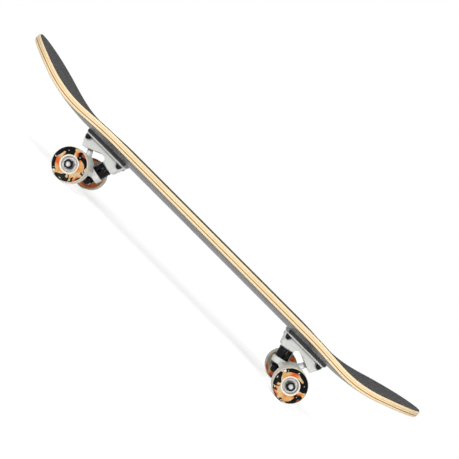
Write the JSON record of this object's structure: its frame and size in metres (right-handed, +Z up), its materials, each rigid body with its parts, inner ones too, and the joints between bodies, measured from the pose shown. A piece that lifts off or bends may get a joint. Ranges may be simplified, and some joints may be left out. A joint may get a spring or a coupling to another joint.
{
  "type": "skateboard",
  "caption": "Street skateboard with a maple deck under black grip tape, sprung steering trucks with bushings, and printed cream urethane wheels on ball bearings.",
  "frame": {"origin": "on the ground below the middle of the deck's length and width", "axes": "+X along the deck towards the tail, +Y across the deck to the rider's right when facing the nose, +Z up, away from the ground"},
  "size_m": [0.799, 0.2078, 0.1309],
  "materials": {
    "maple": "sanded and clear lacquered veneer edges, dark stained underside",
    "grip": "coarse mineral grit on adhesive film",
    "riser": "moulded, matt black",
    "cast_metal": "cast and tumbled, raw",
    "black_steel": "black oxide",
    "bright_steel": "ground and plated",
    "bushing": "cast black urethane, slightly glossy",
    "pivot_cup": "moulded black urethane",
    "wheel": "cast cream urethane, with a printed ring on each face"
  },
  "bodies": {
    "board": {"deck": "maple", "grip_tape": "grip", "nose_riser_pad": "riser", "nose_baseplate": "cast_metal", "nose_pivot_cup": "pivot_cup", "nose_kingpin": "black_steel", "nose_board_side_washer": "black_steel", "nose_board_side_bushing": "bushing", "nose_road_side_bushing": "bushing", "nose_road_side_washer": "black_steel", "nose_kingpin_nut": "black_steel", "nose_bolt_outer_left": "black_steel", "nose_nut_outer_left": "black_steel", "nose_bolt_outer_right": "black_steel", "nose_nut_outer_right": "black_steel", "nose_bolt_inner_left": "black_steel", "nose_nut_inner_left": "black_steel", "nose_bolt_inner_right": "black_steel", "nose_nut_inner_right": "black_steel", "tail_riser_pad": "riser", "tail_baseplate": "cast_metal", "tail_pivot_cup": "pivot_cup", "tail_kingpin": "black_steel", "tail_board_side_washer": "black_steel", "tail_board_side_bushing": "bushing", "tail_road_side_bushing": "bushing", "tail_road_side_washer": "black_steel", "tail_kingpin_nut": "black_steel", "tail_bolt_outer_left": "black_steel", "tail_nut_outer_left": "black_steel", "tail_bolt_outer_right": "black_steel", "tail_nut_outer_right": "black_steel", "tail_bolt_inner_left": "black_steel", "tail_nut_inner_left": "black_steel", "tail_bolt_inner_right": "black_steel", "tail_nut_inner_right": "black_steel"},
    "nose_hanger_set": {"nose_hanger": "cast_metal", "nose_axle": "bright_steel", "nose_left_speed_washer": "bright_steel", "nose_left_axle_nut": "black_steel", "nose_right_speed_washer": "bright_steel", "nose_right_axle_nut": "black_steel"},
    "tail_hanger_set": {"tail_hanger": "cast_metal", "tail_axle": "bright_steel", "tail_left_speed_washer": "bright_steel", "tail_left_axle_nut": "black_steel", "tail_right_speed_washer": "bright_steel", "tail_right_axle_nut": "black_steel"},
    "nose_left_wheel_set": {"nose_left_wheel": "wheel", "nose_left_inner_bearing": "bright_steel", "nose_left_outer_bearing": "bright_steel"},
    "nose_right_wheel_set": {"nose_right_wheel": "wheel", "nose_right_inner_bearing": "bright_steel", "nose_right_outer_bearing": "bright_steel"},
    "tail_left_wheel_set": {"tail_left_wheel": "wheel", "tail_left_inner_bearing": "bright_steel", "tail_left_outer_bearing": "bright_steel"},
    "tail_right_wheel_set": {"tail_right_wheel": "wheel", "tail_right_inner_bearing": "bright_steel", "tail_right_outer_bearing": "bright_steel"}
  },
  "joints": [
    {"name": "nose_steering", "type": "hinge", "parent": "board", "child": "nose_hanger_set", "pos_m": [-0.19614, 0, 0.03398], "axis": [-0.7566, 0, 0.6539], "range_deg": [-12, 12], "stiffness_Nm_per_rad": 40, "deforming": ["nose_board_side_bushing", "nose_road_side_bushing"]},
    {"name": "nose_left_spin", "type": "hinge", "parent": "nose_hanger_set", "child": "nose_left_wheel_set", "pos_m": [-0.21605, -0.082, 0.02584], "axis": [0, 1, 0], "continuous": true},
    {"name": "nose_right_spin", "type": "hinge", "parent": "nose_hanger_set", "child": "nose_right_wheel_set", "pos_m": [-0.21605, 0.082, 0.02584], "axis": [0, 1, 0], "continuous": true},
    {"name": "tail_steering", "type": "hinge", "parent": "board", "child": "tail_hanger_set", "pos_m": [0.19884, 0, 0.03398], "axis": [0.7566, 0, 0.6539], "range_deg": [-12, 12], "stiffness_Nm_per_rad": 40, "deforming": ["tail_board_side_bushing", "tail_road_side_bushing"]},
    {"name": "tail_left_spin", "type": "hinge", "parent": "tail_hanger_set", "child": "tail_left_wheel_set", "pos_m": [0.21875, -0.082, 0.02584], "axis": [0, 1, 0], "continuous": true},
    {"name": "tail_right_spin", "type": "hinge", "parent": "tail_hanger_set", "child": "tail_right_wheel_set", "pos_m": [0.21875, 0.082, 0.02584], "axis": [0, 1, 0], "continuous": true}
  ]
}
